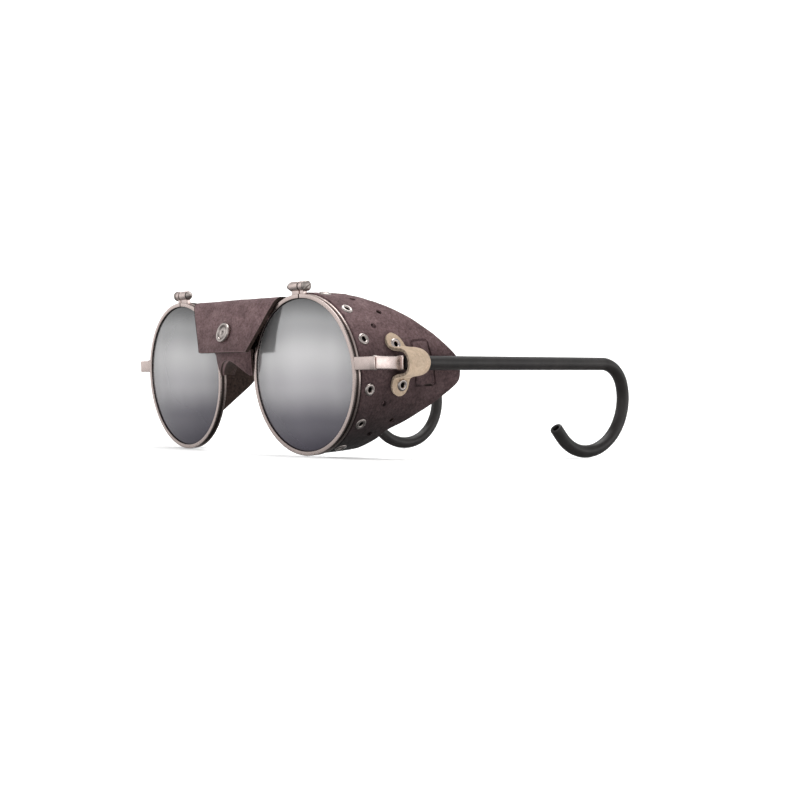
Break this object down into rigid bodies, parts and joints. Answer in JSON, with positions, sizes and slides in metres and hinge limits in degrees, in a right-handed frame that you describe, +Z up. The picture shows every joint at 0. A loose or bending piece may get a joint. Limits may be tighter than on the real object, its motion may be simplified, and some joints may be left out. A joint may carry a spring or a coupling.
{
  "type": "glacier glasses",
  "caption": "Round mirrored glacier glasses with leather side shields and nose cover, a snap-closed flap, tan temple straps and rubber-covered ear hooks.",
  "frame": {"origin": "middle of the bounding box, on the surface that the glasses stand on", "axes": "+X to the wearer's left, +Y from the lenses back to the ear hooks, +Z up"},
  "size_m": [0.146, 0.1472, 0.0572],
  "materials": {
    "rose_metal": "satin rose-champagne coating, darker in the groove and worn pale on the edges",
    "mirror_glass": "grey mineral glass, strong neutral mirror, darker towards the top and bottom",
    "brown_leather": "dark purplish-brown nubuck, mottled, paler raised grain, raw cut edges",
    "tan_leather": "pale tan nubuck with paler cut edges",
    "black_rubber": "matt black rubber",
    "steel": "satin steel"
  },
  "bodies": {
    "front": {"end_piece_left": "rose_metal", "rim_left": "rose_metal", "lens_left": "mirror_glass", "closing_screw_left": "steel", "shield_band_left": "rose_metal", "shield_collar_left": "brown_leather", "shield_flap_left": "brown_leather", "shield_eyelet_left_1": "rose_metal", "shield_eyelet_left_2": "rose_metal", "shield_eyelet_left_3": "rose_metal", "shield_eyelet_left_4": "rose_metal", "shield_eyelet_left_5": "rose_metal", "shield_eyelet_left_6": "rose_metal", "strap_eyelet_left_upper": "rose_metal", "strap_eyelet_left_lower": "rose_metal", "hinge_screw_left": "steel", "end_piece_right": "rose_metal", "rim_right": "rose_metal", "lens_right": "mirror_glass", "closing_screw_right": "steel", "shield_band_right": "rose_metal", "shield_collar_right": "brown_leather", "shield_flap_right": "brown_leather", "shield_eyelet_right_1": "rose_metal", "shield_eyelet_right_2": "rose_metal", "shield_eyelet_right_3": "rose_metal", "shield_eyelet_right_4": "rose_metal", "shield_eyelet_right_5": "rose_metal", "shield_eyelet_right_6": "rose_metal", "strap_eyelet_right_upper": "rose_metal", "strap_eyelet_right_lower": "rose_metal", "hinge_screw_right": "steel", "bridge_bar": "rose_metal", "nose_cover": "brown_leather", "snap_stud": "rose_metal", "snap_post": "rose_metal"},
    "temple_left": {"temple_strap_left": "tan_leather", "temple_bar_left": "rose_metal", "temple_wire_left": "steel", "temple_tube_left": "black_rubber"},
    "temple_right": {"temple_strap_right": "tan_leather", "temple_bar_right": "rose_metal", "temple_wire_right": "steel", "temple_tube_right": "black_rubber"},
    "nose_flap": {"nose_flap": "brown_leather", "snap_cap": "rose_metal", "snap_socket": "rose_metal"}
  },
  "joints": [
    {"name": "left_temple_fold", "type": "hinge", "parent": "front", "child": "temple_left", "pos_m": [0.0692, -0.06098, 0.03042], "axis": [0, -0.0917, 0.9958], "range_deg": [0, 76], "deforming": ["shield_flap_left", "temple_strap_left"]},
    {"name": "right_temple_fold", "type": "hinge", "parent": "front", "child": "temple_right", "pos_m": [-0.0692, -0.06098, 0.03042], "axis": [0, 0.0917, -0.9958], "range_deg": [0, 52], "deforming": ["shield_flap_right", "temple_strap_right"]},
    {"name": "nose_flap_lift", "type": "hinge", "parent": "front", "child": "nose_flap", "pos_m": [0, -0.06919, 0.05196], "axis": [-1, 0, 0], "range_deg": [0, 100]}
  ]
}
